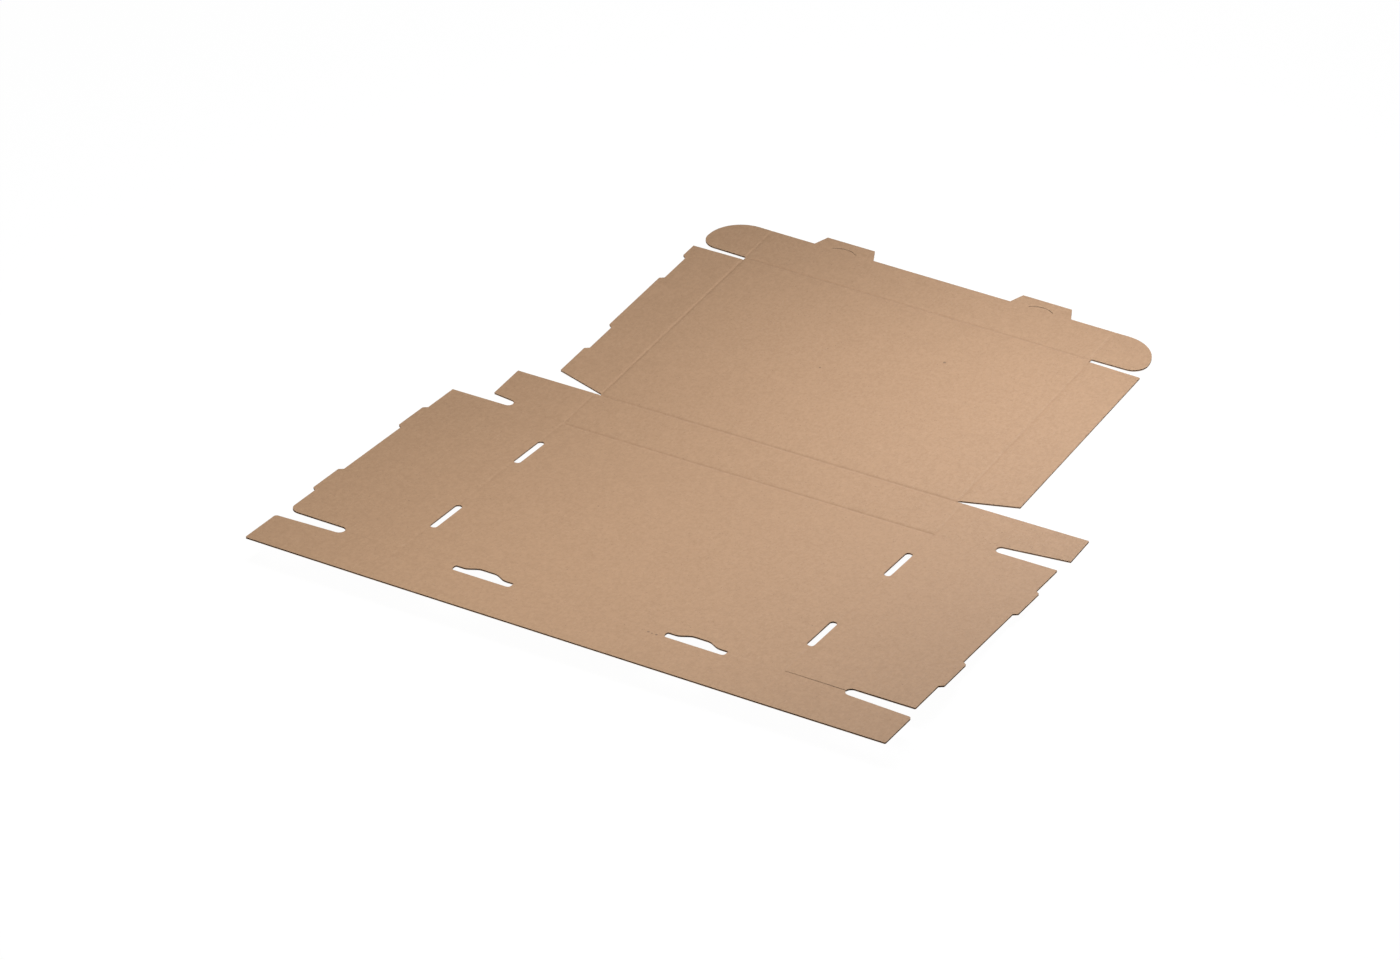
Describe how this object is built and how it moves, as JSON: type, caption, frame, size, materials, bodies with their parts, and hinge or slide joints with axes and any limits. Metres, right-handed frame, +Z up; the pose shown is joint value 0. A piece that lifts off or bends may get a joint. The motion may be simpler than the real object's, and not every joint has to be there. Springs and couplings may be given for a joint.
{
  "type": "carton blank",
  "caption": "Flat, unfolded mailing carton of thin brown corrugated board, die cut and creased, with roll-over side walls, a hinged lid, a tuck flap and locking tabs and slots.",
  "frame": {"origin": "bottom centre of the bounding box, on the table the sheet rests on", "axes": "+X along the long folds, to the right seen from the front wall; +Y from the front wall to the tuck flap; +Z up, out of the face that becomes the inside"},
  "size_m": [0.5866, 0.692, 0.0275],
  "materials": {
    "board": "matt brown kraft liner"
  },
  "bodies": {
    "root": {"box_blank": "board"}
  },
  "joints": []
}
